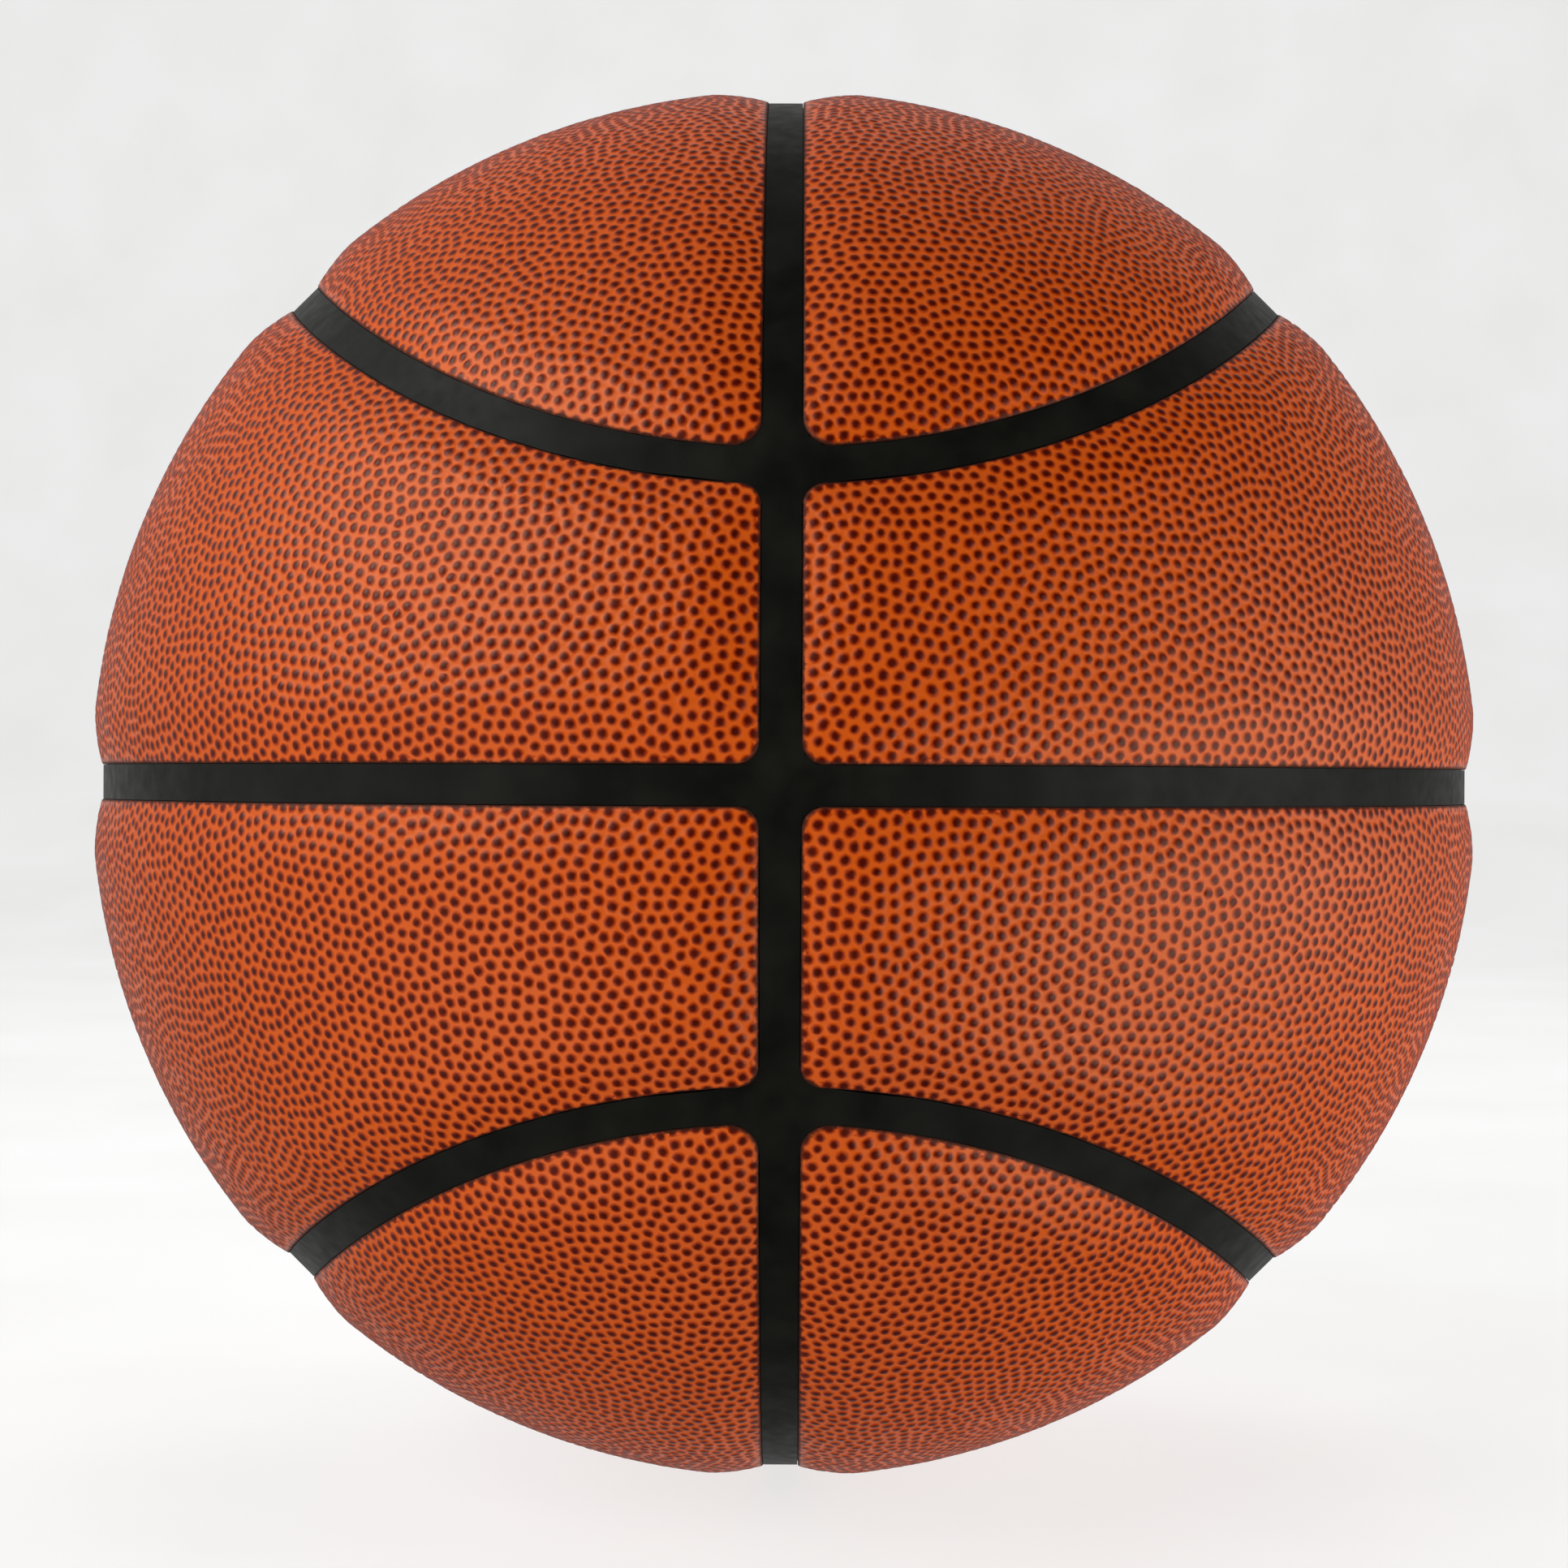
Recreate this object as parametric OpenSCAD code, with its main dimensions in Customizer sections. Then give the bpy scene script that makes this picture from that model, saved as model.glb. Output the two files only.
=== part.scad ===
// An eight-panel basketball: a bladder with its valve, a thread winding, a rubber carcass whose
// raised ribs show as black channels, eight sponge pads and eight pebbled cover panels.
// The origin is the ball's centre and +Z is up. A straight seam runs round the ball in the plane
// z = 0, another in the plane x = 0, and the crossing of the two that is seen first faces -Y.

/* [Ball] */
// Circumference of the ball on a great circle over the panels
ball_circumference = 698.5; // [640:0.5:780]

/* [Seams] */
// Elevation of the curved seams where they cross the front and back of the ball, in degrees
loop_front_elevation = 22.4; // [19:0.1:27]
// Elevation of the curved seams at the sides of the ball, in degrees
loop_side_elevation = 45.3; // [41:0.1:50]
// Width of the black channel between two panels
channel_w = 5.5; // [4:0.1:7]
// Depth of the channel below the ball's surface
channel_depth = 1.87; // [1.7:0.01:2.2]

/* [Panels] */
// Thickness of a cover panel over its pad
panel_t = 1.5; // [1.3:0.05:2]
// Width of the strip along a panel's edge that rolls down to the channel
roll_w = 9; // [7:0.5:12]
// Drop of a panel's surface from its crown to its edge
roll_drop = 1.6; // [1.2:0.05:1.8]
// Radius of a cap panel's corners
cap_corner_r = 4.4; // [2:0.1:6]
// Radius of a side panel's corners
side_corner_r = 2.9; // [1.5:0.1:4]
// Gap between a panel's wall and the rib beside it
panel_gap = 0.1; // [0.05:0.01:0.3]

/* [Pads] */
// Thickness of the sponge pad under a panel
pad_t = 1; // [0.8:0.05:1.5]
// Distance from a panel's edge to the foot of its pad
pad_inset = 4.5; // [3:0.5:8]
// Width of the skived slope along a pad's edge
pad_slope_w = 3; // [1:0.5:5]

/* [Shells] */
// Thickness of the carcass under the pads
carcass_t = 1.1; // [0.8:0.05:1.6]
// Thickness of the layer of wound thread
winding_t = 0.45; // [0.3:0.05:0.8]
// Thickness of the bladder's wall
bladder_t = 0.7; // [0.5:0.05:1.2]

/* [Valve] */
// Angle from the back of the ball round to the valve, in degrees
valve_azimuth = 14; // [11:0.5:20]
// Elevation of the valve above the level seam, in degrees
valve_elevation = 11.2; // [10:0.1:13]
// Diameter of the valve's round face
valve_face_d = 7; // [6:0.1:9]
// Depth of the valve's face below the ball's surface
valve_recess = 0.4; // [0.2:0.05:0.8]
// Diameter of the barrel below the neck
barrel_d = 9.6; // [9:0.1:12]
// Length of the whole valve moulding, from its face to its inner end
valve_h = 14; // [12:0.5:18]
// Diameter of the flange that is bonded inside the bladder
flange_d = 26; // [20:0.5:34]
// Thickness of the flange
flange_t = 1.2; // [0.8:0.1:2]
// Gap between the valve and the holes that it passes through
valve_gap = 0.15; // [0.05:0.01:0.3]
// Diameter of the soft core inside the valve
core_d = 4.4; // [3.6:0.1:5]
// Diameter of the bulb that holds the core in the valve
core_bulb_d = 5.8; // [5.2:0.1:6.6]
// Length of the bulb along the core
core_bulb_h = 3; // [2:0.1:4]
// Depth of the bulb's upper shoulder below the valve's face
core_bulb_depth = 4.6; // [4:0.1:6]
// Gap between the core and the valve moulding
core_gap = 0.05; // [0.02:0.01:0.1]
// Diameter of the needle port in the core
port_d = 2; // [1.6:0.1:2.4]
// Depth of the needle port
port_h = 6; // [4:0.5:8]
// Diameter of the port's flared mouth
port_mouth_d = 3; // [2.6:0.1:3.4]
// Depth of the port's flared mouth
port_mouth_h = 0.5; // [0.2:0.1:1]

/* [Hidden] */
$fn = 96;

// Radii of the layers, from the outside in
ball_r = ball_circumference / (2 * PI);
rib_r = ball_r - channel_depth;
pad_top_r = ball_r - panel_t;
pocket_r = pad_top_r - pad_t;
winding_r = pocket_r - carcass_t;
bladder_r = winding_r - winding_t;
air_r = bladder_r - bladder_t;

// Each curved seam is where the ball meets a round cylinder whose axis runs level from front to
// back. The height of that axis and the cylinder's radius are shares of the ball's radius.
loop_axis_share = pow(cos(loop_front_elevation), 2)
    / (2 * (sin(loop_side_elevation) - sin(loop_front_elevation)));
loop_r_share = loop_axis_share - sin(loop_front_elevation);

// The two shapes of panel. A cap panel lies between the upright seam and a curved one, and a side
// panel between the level seam and a curved one. Places on a panel are told by longitude, which is
// 0 on the side of the ball, or on its top for a cap, and by latitude, which is 0 on the panel's
// straight long seam.
CAP = 0;
SIDE = 1;
crown_axis = [[0, 0, 1], [1, 0, 0]];
latitude_axis = [[1, 0, 0], [0, 0, 1]];
quarter_axis = [for (shape = [CAP, SIDE]) cross(latitude_axis[shape], crown_axis[shape])];
corner_r = [cap_corner_r, side_corner_r];

// Spine of each panel: half the panel's height at its middle and at its ends, the longitude of its
// ends, and the share of that longitude that the spine reaches
middle_latitude = [(90 - loop_side_elevation) / 2, loop_side_elevation / 2];
end_latitude = [0, loop_front_elevation / 2];
end_longitude = [90 - loop_front_elevation, 90];
spine_share = 0.75;

// Numbers of spokes that draw a panel and a pad. They run from the spine to the outline.
panel_spokes = [88, 112];
pad_spokes = [34, 44];

// Fineness of the outlines: steps round an outline when the spokes are shared out along it, halvings
// of a spoke in the search for the outline, and the extra share of spokes for a quarter turn.
outline_steps = 540;
outline_halvings = 18;
farthest_angle = 110;
quarter_turn_share = 0.035;

// Rings of a panel's rolled edge, as shares of the roll's width, and the power of its curve
roll_shares = [0, 0.16, 0.34, 0.6];
roll_power = 1.5;
// Corners grow rounder up the roll, by this share of the distance from the edge
rounding_share = 0.5;
// Height of the last ring over the ball's surface, so that the surface cuts it off
crown_overrun = 0.15;
// Radii of the points that close a wedge outside the ball
rim_share = 1.3;
dome_share = 1.6;
apex_share = 3;

function radians(angle) = angle * PI / 180;
function unit(v) = v / norm(v);
function arc_length(sine) = ball_r * radians(asin(sine));

// Distance along the ball's surface from the direction d to the curved seam, positive on its cap
function loop_gap(d) =
    let (from_axis = [d.x, 0, d.z - loop_axis_share])
    let (away = unit(from_axis))
    ball_r * (loop_r_share - norm(from_axis)) / norm(away - (away * d) * d);

// Distances from the direction d to the seams round a panel, positive inside the panel
function seam_gaps(shape, d) = shape == CAP
    ? [arc_length(d.x), loop_gap(d)]
    : [arc_length(d.x), arc_length(d.z), -loop_gap(d)];

// Positive where d is farther than inset from every seam, inside corners of radius r
function inside(shape, d, inset, r) =
    r - norm([for (gap = seam_gaps(shape, d)) max(r - (gap - inset), 0)]);

// Point of a panel's spine at or nearest to a longitude
function spine(shape, longitude) =
    let (reach = spine_share * end_longitude[shape])
    let (turn = max(-reach, min(reach, longitude)))
    let (along = pow(turn / end_longitude[shape], 2))
    let (latitude = middle_latitude[shape] + (end_latitude[shape] - middle_latitude[shape]) * along)
    cos(latitude) * (cos(turn) * crown_axis[shape] + sin(turn) * quarter_axis[shape])
        + sin(latitude) * latitude_axis[shape];

// A spoke is its root and the direction in which it leaves the root, square to it
function spoke(root, target) = [root, unit(target - (target * root) * root)];
function along_spoke(s, angle) = cos(angle) * s[0] + sin(angle) * s[1];

// Angle along a spoke at which it leaves the outline, found by halving the range that holds it
function edge_angle(shape, s, inset, r, low = 0, high = farthest_angle, halvings = 0) =
    let (angle = (low + high) / 2)
    halvings == outline_halvings ? angle
    : inside(shape, along_spoke(s, angle), inset, r) > 0
    ? edge_angle(shape, s, inset, r, angle, high, halvings + 1)
    : edge_angle(shape, s, inset, r, low, angle, halvings + 1);

// Directions, along a list of spokes, to an outline that lies inset from the seams
function outline(shape, spokes, inset, r) =
    [for (s = spokes) along_spoke(s, edge_angle(shape, s, inset, r))];

// Spokes from the spine that meet a panel's outline at even steps, closer together round corners
function shared_spokes(shape, count) =
    let (middle = spine(shape, 0))
    let (up = spoke(middle, latitude_axis[shape])[1])
    let (fan = [for (i = [0:outline_steps])
        let (azimuth = 360 * i / outline_steps)
        [middle, cos(azimuth) * up - sin(azimuth) * quarter_axis[shape]]])
    let (edge = outline(shape, fan, channel_w / 2, corner_r[shape]))
    let (steps = [for (i = [0:outline_steps - 1]) edge[i + 1] - edge[i]])
    let (turns = [for (i = [0:outline_steps - 1])
        acos(min(1, unit(steps[i]) * unit(steps[(i + outline_steps - 1) % outline_steps])))])
    let (weights = [for (i = [0:outline_steps - 1])
        norm(steps[i]) + quarter_turn_share * PI * turns[i] / 90])
    let (sums = [for (i = 0, sum = 0; i <= outline_steps;
        sum = sum + (i < outline_steps ? weights[i] : 0), i = i + 1) [sum, i]])
    [for (k = [0:count - 1])
        let (place = lookup(sums[outline_steps][0] * k / count, sums))
        let (i = floor(place))
        let (target = edge[i] + (place - i) * steps[min(i, outline_steps - 1)])
        let (longitude = atan2(target * quarter_axis[shape], target * crown_axis[shape]))
        spoke(spine(shape, longitude), target)];

panel_fan = [for (shape = [CAP, SIDE]) shared_spokes(shape, panel_spokes[shape])];
pad_fan = [for (shape = [CAP, SIDE]) shared_spokes(shape, pad_spokes[shape])];

// A solid with its tip at the ball's centre, its sides on the rings in turn, and its far point
// beyond the ball over the panel's middle
module wedge(shape, rings) {
    count = len(rings[0]);
    points = concat([[0, 0, 0]], [for (r = rings) each r], [apex_share * ball_r * spine(shape, 0)]);
    function at(level, i) = 1 + level * count + i % count;
    sides = [for (i = [0:count - 1]) [0, at(0, i), at(0, i + 1)]];
    bands = [for (level = [1:1:len(rings) - 1], i = [0:count - 1]) each [
        [at(level - 1, i), at(level, i), at(level, i + 1)],
        [at(level - 1, i), at(level, i + 1), at(level - 1, i + 1)]
    ]];
    top = [for (i = [0:count - 1]) [len(points) - 1, at(len(rings) - 1, i + 1), at(len(rings) - 1, i)]];
    polyhedron(points = points, faces = concat(sides, bands, top));
}

// Ring that closes a wedge over an outline, half way in to the panel's middle
function dome(shape, edge) = [for (d = edge) dome_share * ball_r * unit(d + spine(shape, 0))];

// A whole sphere about the ball's centre, with its poles in the upright seam
module ball(r) {
    rotate([0, 0, 90]) sphere(r = r);
}

// Everything that lies farther than inset from the seams round a panel
module radial_wedge(shape, inset) {
    wedge(shape, [rim_share * ball_r * outline(shape, panel_fan[shape], inset, corner_r[shape])]);
}

// The space of a pad and all that is over it, with sides that slope in from its foot
module pad_wedge(shape) {
    foot = channel_w / 2 + pad_inset;
    slope = pad_slope_w / pad_t;
    below = pad_t / 2;
    above = panel_t / 2;
    low = outline(shape, pad_fan[shape], foot - below * slope, corner_r[shape]);
    high = outline(shape, pad_fan[shape], foot + pad_slope_w + above * slope, corner_r[shape]);
    wedge(shape, [(pocket_r - below) * low, (pad_top_r + above) * high, dome(shape, high)]);
}

// The space of a panel and all that is over it, with its edge rolled down
module panel_wedge(shape) {
    function level(share) = outline(shape, panel_fan[shape], channel_w / 2 + share * roll_w,
        corner_r[shape] + rounding_share * share * roll_w);
    crown = level(1);
    wedge(shape, concat(
        [for (share = roll_shares) (ball_r - roll_drop * pow(1 - share, roll_power)) * level(share)],
        [(ball_r + crown_overrun) * crown],
        [dome(shape, crown)]
    ));
}

// Moves a child that is drawn along +Z, from the ball's centre, onto the valve's axis
module on_valve_axis() {
    rotate([0, 90 - valve_elevation, 90 - valve_azimuth]) children();
}

// Hole for the valve, of diameter d, through whatever lies between the bladder and the outside
module valve_hole(d) {
    on_valve_axis() translate([0, 0, air_r / 2]) cylinder(h = ball_r, d = d + 2 * valve_gap);
}

face_r = ball_r - valve_recess;
// The barrel ends under the pad, which lies on its rim, and the neck goes on to the face
shoulder_r = sqrt(pow(pocket_r, 2) - pow(barrel_d / 2, 2)) - valve_gap;
bulb_top_r = face_r - core_bulb_depth;
bulb_bottom_r = bulb_top_r - core_bulb_h;
valve_end_r = face_r - valve_h;

// Outline of the soft core, from its end to its face, wider all round by grow
module core_profile(grow) {
    shaft = core_d / 2 + grow;
    bulb = core_bulb_d / 2 + grow;
    chamfer = bulb - shaft;
    polygon([
        [0, valve_end_r], [shaft, valve_end_r], [shaft, bulb_bottom_r - chamfer],
        [bulb, bulb_bottom_r], [bulb, bulb_top_r], [shaft, bulb_top_r + chamfer],
        [shaft, face_r], [0, face_r]
    ]);
}

module bladder() {
    color([0.12, 0.12, 0.12]) difference() {
        ball(bladder_r);
        ball(air_r);
        valve_hole(barrel_d);
    }
}

module valve_body() {
    lip = valve_face_d / 10;
    color([0.16, 0.15, 0.14]) difference() {
        union() {
            intersection() {
                ball(air_r);
                on_valve_axis() translate([0, 0, air_r - flange_d / 2])
                    cylinder(h = flange_d, d = flange_d);
            }
            on_valve_axis() rotate_extrude() polygon([
                [0, valve_end_r], [barrel_d / 2 - lip, valve_end_r], [barrel_d / 2, valve_end_r + lip],
                [barrel_d / 2, shoulder_r], [valve_face_d / 2, shoulder_r],
                [valve_face_d / 2, face_r], [0, face_r]
            ]);
        }
        difference() {
            ball(air_r - flange_t);
            on_valve_axis() translate([0, 0, valve_end_r]) cylinder(h = valve_h, d = barrel_d);
        }
        on_valve_axis() rotate_extrude() core_profile(core_gap);
    }
}

module valve_core() {
    color([0.24, 0.22, 0.2]) on_valve_axis() difference() {
        rotate_extrude() core_profile(0);
        translate([0, 0, face_r - port_h]) cylinder(h = port_h + valve_recess, d = port_d);
        translate([0, 0, face_r - port_mouth_h]) cylinder(h = port_mouth_h, d1 = port_d, d2 = port_mouth_d);
    }
}

module thread_winding() {
    color([0.85, 0.83, 0.76]) difference() {
        ball(winding_r);
        ball(bladder_r);
        valve_hole(barrel_d);
    }
}

module carcass() {
    color([0.09, 0.09, 0.08]) difference() {
        ball(rib_r);
        ball(winding_r);
        for (top = [false, true], right = [false, true], shape = [CAP, SIDE]) {
            quarter(top, right) difference() {
                radial_wedge(shape, channel_w / 2 - panel_gap);
                ball(pocket_r);
            }
        }
        valve_hole(barrel_d);
    }
}

// A pad of the right upper quarter, which the other quarters mirror
module pad(shape) {
    intersection() {
        difference() {
            ball(pad_top_r);
            ball(pocket_r);
        }
        pad_wedge(shape);
    }
}

// A panel of the right upper quarter, hollowed for its pad
module panel(shape) {
    difference() {
        intersection() {
            ball(ball_r);
            panel_wedge(shape);
        }
        ball(pocket_r);
        intersection() {
            ball(pad_top_r);
            pad_wedge(shape);
        }
    }
}

// Draws its child in one quarter of the ball
module quarter(top, right) {
    mirror([0, 0, top ? 0 : 1]) mirror([right ? 0 : 1, 0, 0]) children();
}

pad_color = [0.78, 0.72, 0.6];
panel_color = [0.76, 0.32, 0.1];

module top_pad_right() { color(pad_color) quarter(true, true) pad(CAP); }
module top_pad_left() { color(pad_color) quarter(true, false) pad(CAP); }
module bottom_pad_right() { color(pad_color) quarter(false, true) pad(CAP); }
module bottom_pad_left() { color(pad_color) quarter(false, false) pad(CAP); }
module upper_side_pad_right() {
    color(pad_color) difference() {
        quarter(true, true) pad(SIDE);
        valve_hole(valve_face_d);
    }
}
module upper_side_pad_left() { color(pad_color) quarter(true, false) pad(SIDE); }
module lower_side_pad_right() { color(pad_color) quarter(false, true) pad(SIDE); }
module lower_side_pad_left() { color(pad_color) quarter(false, false) pad(SIDE); }

module top_panel_right() { color(panel_color) quarter(true, true) panel(CAP); }
module top_panel_left() { color(panel_color) quarter(true, false) panel(CAP); }
module bottom_panel_right() { color(panel_color) quarter(false, true) panel(CAP); }
module bottom_panel_left() { color(panel_color) quarter(false, false) panel(CAP); }
module upper_side_panel_right() {
    color(panel_color) difference() {
        quarter(true, true) panel(SIDE);
        valve_hole(valve_face_d);
    }
}
module upper_side_panel_left() { color(panel_color) quarter(true, false) panel(SIDE); }
module lower_side_panel_right() { color(panel_color) quarter(false, true) panel(SIDE); }
module lower_side_panel_left() { color(panel_color) quarter(false, false) panel(SIDE); }

bladder();
valve_body();
valve_core();
thread_winding();
carcass();
top_pad_right();
top_pad_left();
bottom_pad_right();
bottom_pad_left();
upper_side_pad_right();
upper_side_pad_left();
lower_side_pad_right();
lower_side_pad_left();
top_panel_right();
top_panel_left();
bottom_panel_right();
bottom_panel_left();
upper_side_panel_right();
upper_side_panel_left();
lower_side_panel_right();
lower_side_panel_left();
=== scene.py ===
"""An eight-panel basketball. Closed, pebbled cover panels and the sponge pads under them are built
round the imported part's rubber carcass, whose ribs show as black channels, and its valve. The ball's
lengths are in millimetres until they reach Blender, and those of the lights and floor in metres."""

import math

import bpy
import numpy as np
from mathutils import Matrix, Vector
from mathutils.geometry import delaunay_2d_cdt


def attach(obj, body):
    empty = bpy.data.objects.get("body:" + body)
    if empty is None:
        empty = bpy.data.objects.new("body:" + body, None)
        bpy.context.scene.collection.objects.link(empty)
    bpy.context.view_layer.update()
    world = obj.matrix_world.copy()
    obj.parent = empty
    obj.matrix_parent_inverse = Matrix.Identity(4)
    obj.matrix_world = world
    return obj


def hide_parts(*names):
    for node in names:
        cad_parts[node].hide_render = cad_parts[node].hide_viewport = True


MM = 0.001

# Sizes of the ball, as in the part's source. A list has a cap's value and then a side panel's.
CIRCUMFERENCE = 698.5
BALL_R = CIRCUMFERENCE / math.tau
LOOP_FRONT_ELEVATION = math.radians(22.4)
LOOP_SIDE_ELEVATION = math.radians(45.3)
CHANNEL_W = 5.5
ROLL_W = 9
ROLL_DROP = 1.6
ROLL_POWER = 1.5
CORNER_R = [4.4, 2.9]
CORNER_GROWTH = 0.5
PANEL_T = 1.5
PAD_T = 1
PAD_INSET = 4.5
PAD_SLOPE_W = 3
VALVE_AZIMUTH = math.radians(14)
VALVE_ELEVATION = math.radians(11.2)
VALVE_BARREL_D = 7
VALVE_HOLE_CLEAR = 0.15
VALVE_HOLE_R = VALVE_BARREL_D / 2 + VALVE_HOLE_CLEAR

# Each curved seam is where the ball meets a round cylinder that lies level from front to back
LOOP_AXIS = math.cos(LOOP_FRONT_ELEVATION) ** 2 / (
    2 * (math.sin(LOOP_SIDE_ELEVATION) - math.sin(LOOP_FRONT_ELEVATION))
)
LOOP_R = LOOP_AXIS - math.sin(LOOP_FRONT_ELEVATION)

# Pebbles: the ground that each covers, in square millimetres, and the sizes of one of middling
# size, with how far they vary. A crowded one's top reaches at most TOP_SHARE of the way to the
# groove between it and the next, and only neighbours that a point faces by LEAST_FACING hold it in.
PEBBLE_AREA = 3.6
PEBBLE_DARK_R = 0.7
PEBBLE_TOP_R = 0.58
PEBBLE_BASE_R = 0.98
PEBBLE_SIDES = 7
PEBBLE_H = 0.17
PEBBLE_CROWN = 0.022
PEBBLE_SUNK = 0.03
PEBBLE_GROOVE = 0.09
TOP_SHARE = 0.74
LEAST_FACING = 1e-3
SIZE_SPREAD = 0.075
SIZE_LIMIT = 0.18
ASPECT_SPREAD = 0.13
ASPECT_LIMIT = 1.3
HEIGHT_SPREAD = 0.012

# How the pebbles are spread: how far past the panel's edge, how far they are shaken at the start,
# in pitches, and how often and how far they are moved towards the middle of their ground
SPREAD_MARGIN = 2.2
START_SHAKE = 0.34
RELAX_ROUNDS = 12
RELAX_STEP = 1.6

# The strip along a panel's edge: lines of points at these distances in from it and how far each is
# let down, their spacing, how far in the first pebbles are, the distances between which pebbles
# rise to their full height, and the strip's depth as a share of that height
LIP_LINES = [(0, 0.16), (0.12, 0.05), (0.34, 0)]
LIP_STEP = 0.4
PEBBLE_CLEAR = 0.52
PEBBLE_RISE = (0.25, 1.4)
LIP_LEVEL = 0.5

# Sponge pads: the spacing of their points and the number of lines on their slope, how far in from
# the feather edge they end, their clearance under the panels, the gap round the valve's hole, and
# how uneven their thickness is
PAD_STEP = 1.8
PAD_LINES = 4
PAD_BLUNT = 0.8
PAD_CLEAR = 0.03
PAD_HOLE_GAP = 0.3
PAD_UNEVEN = 0.06

# Marks: distance from a pebble's middle, with the dark top's radius as 1. The least that a point
# of a pebble's base has, that of a point on no pebble, and the shade of a face on no pebble.
BASE_MARK = 1.7
OFF_PEBBLE = 4
MIDDLE_SHADE = 0.5

# Undersides: the seed of their random points, how many are drawn for each square as wide as the
# pad's crest is far from the edge, and how much farther from the hole they are than its ring
UNDERSIDE_SEED = 5
UNDERSIDE_DRAWS = 2
UNDERSIDE_CLEAR = 1

# The seeds of the first panel and the first pad
PANEL_SEED = 1
PAD_SEED = 21

# Points nearer to each other than SAME_POINT are one, and nothing is divided by less than TINY
SAME_POINT = 1e-7
TINY = 1e-9

# The shapes of panel. For each: the axes that it is measured by, the latitudes of its middle and
# its end, and its end's longitude. Its spine spans SPINE_SHARE of that.
CAP, SIDE = 0, 1
X, Y, Z = np.eye(3)
CROWN_AXIS = [Z, X]
LATITUDE_AXIS = [X, Z]
QUARTER_AXIS = [-Y, Y]
MIDDLE_LATITUDE = [(math.pi / 2 - LOOP_SIDE_ELEVATION) / 2, LOOP_SIDE_ELEVATION / 2]
END_LATITUDE = [0, LOOP_FRONT_ELEVATION / 2]
END_LONGITUDE = [math.pi / 2 - LOOP_FRONT_ELEVATION, math.pi / 2]
SPINE_SHARE = 0.75


def middle(shape):
    """The direction of a panel's middle."""
    latitude = MIDDLE_LATITUDE[shape]
    return math.cos(latitude) * CROWN_AXIS[shape] + math.sin(latitude) * LATITUDE_AXIS[shape]


def unit(v):
    return v / np.linalg.norm(v, axis=-1, keepdims=True)


def arc_length(sine):
    return BALL_R * np.arcsin(np.clip(sine, -1, 1))


def loop_gap(d):
    """Distance along the ball from the directions d to the curved seam, positive on its cap."""
    from_axis = d * (1, 0, 1) - (0, 0, LOOP_AXIS)
    away = unit(from_axis)
    slope = np.linalg.norm(away - (away * d).sum(1, keepdims=True) * d, axis=1)
    return BALL_R * (LOOP_R - np.linalg.norm(from_axis, axis=1)) / slope


def inside(shape, d, inset, r):
    """Positive where d is farther than inset from the panel's seams, in corners of radius r."""
    if shape == CAP:
        gaps = [arc_length(d[:, 0]), loop_gap(d)]
    else:
        gaps = [arc_length(d[:, 0]), arc_length(d[:, 2]), -loop_gap(d)]
    short = [np.maximum(r - (gap - inset), 0) for gap in gaps]
    return r - np.sqrt(sum(s * s for s in short))


def within(shape, d, gap):
    """Positive where d is farther than gap in from the panel's edge. Corners are rounder inside."""
    return inside(shape, d, CHANNEL_W / 2 + gap, CORNER_R[shape] + CORNER_GROWTH * gap)


def edge_distance(shape, d, halvings=13):
    """Distance in from the panel's edge, up to the roll's width."""
    low, high = np.zeros(len(d)), np.full(len(d), float(ROLL_W))
    for _ in range(halvings):
        s = (low + high) / 2
        deeper = within(shape, d, s) > 0
        low, high = np.where(deeper, s, low), np.where(deeper, high, s)
    return (low + high) / 2


def spine(shape, longitude):
    """Points of a panel's spine, which runs along its middle, at or nearest to the longitudes."""
    reach = SPINE_SHARE * END_LONGITUDE[shape]
    turn = np.clip(longitude, -reach, reach)[:, None]
    bend = END_LATITUDE[shape] - MIDDLE_LATITUDE[shape]
    latitude = MIDDLE_LATITUDE[shape] + bend * (turn / END_LONGITUDE[shape]) ** 2
    around = np.cos(turn) * CROWN_AXIS[shape] + np.sin(turn) * QUARTER_AXIS[shape]
    return np.cos(latitude) * around + np.sin(latitude) * LATITUDE_AXIS[shape]


def reached(shape, root, target, inset, r, farthest=math.radians(110), halvings=22):
    """Where arcs from each root towards its target meet the line that lies inset from the seams."""
    aim = unit(target - (target * root).sum(1, keepdims=True) * root)
    low, high = np.zeros((len(aim), 1)), np.full((len(aim), 1), farthest)
    for _ in range(halvings):
        angle = (low + high) / 2
        tried = np.cos(angle) * root + np.sin(angle) * aim
        short = inside(shape, tried, inset, r)[:, None] > 0
        low, high = np.where(short, angle, low), np.where(short, high, angle)
    return np.cos(low) * root + np.sin(low) * aim


def evenly(line, count=None, spacing=None):
    """Directions at even steps round a closed line of them."""
    closed = np.vstack([line, line[:1]])
    steps = np.linalg.norm(np.diff(closed, axis=0), axis=1)
    along = np.concatenate([[0], np.cumsum(steps)]) * BALL_R
    count = count or round(along[-1] / spacing)
    places = np.arange(count) * along[-1] / count
    return unit(np.stack([np.interp(places, along, closed[:, k]) for k in range(3)], 1))


def outline(shape, inset, r, spacing, rays=6000):
    """Directions at even steps round the line that lies inset from the seams."""
    root = spine(shape, np.zeros(rays))
    up = LATITUDE_AXIS[shape] - (LATITUDE_AXIS[shape] @ root[0]) * root[0]
    azimuth = np.linspace(0, math.tau, rays, endpoint=False)[:, None]
    fan = root + np.cos(azimuth) * unit(up) + np.sin(azimuth) * QUARTER_AXIS[shape]
    target = evenly(reached(shape, root, fan, inset, r), rays)
    longitude = np.arctan2(target @ QUARTER_AXIS[shape], target @ CROWN_AXIS[shape])
    return evenly(reached(shape, spine(shape, longitude), target, inset, r), spacing=spacing)


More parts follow.
